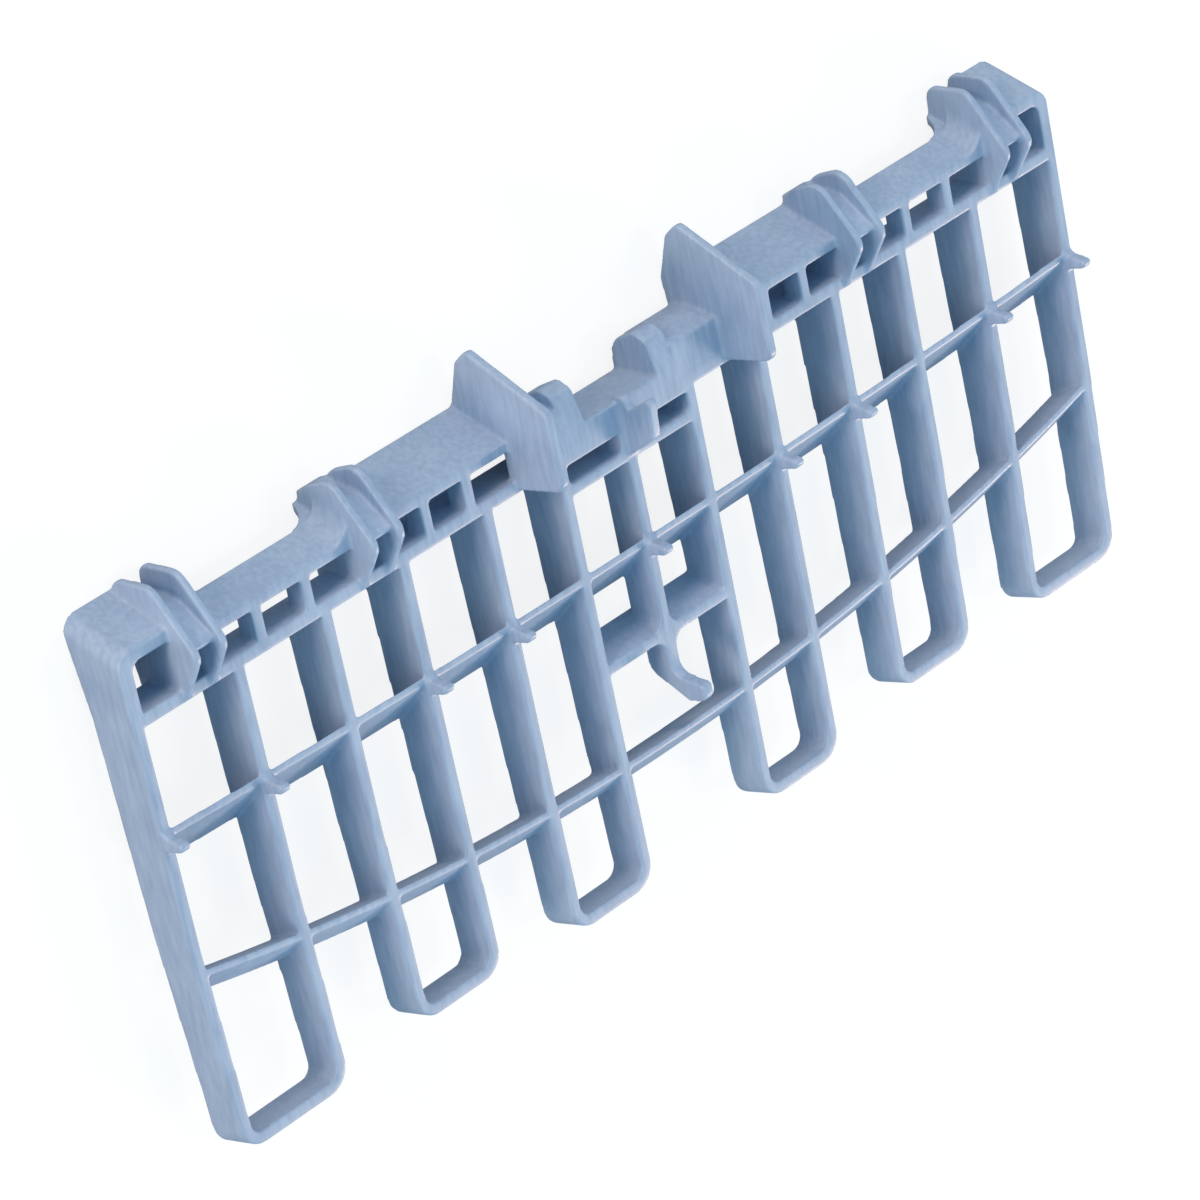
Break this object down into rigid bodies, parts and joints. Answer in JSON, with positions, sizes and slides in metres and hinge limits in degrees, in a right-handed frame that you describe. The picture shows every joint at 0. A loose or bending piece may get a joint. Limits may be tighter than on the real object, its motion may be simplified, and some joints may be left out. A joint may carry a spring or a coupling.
{
  "type": "dishwasher cup shelf",
  "caption": "Moulded plastic cup shelf for a dishwasher rack: a comb of U-shaped loops and cross rails hanging from a ribbed beam with wire clips.",
  "frame": {"origin": "middle of the underside of the box around the shelf as it lies on its back", "axes": "+X along the beam, +Y from the loop tips towards the beam, +Z out of the front face that the pegs stand on"},
  "size_m": [0.3036, 0.1432, 0.0318],
  "materials": {
    "moulded_plastic": "satin"
  },
  "bodies": {
    "root": {"cup_shelf": "moulded_plastic"}
  },
  "joints": []
}
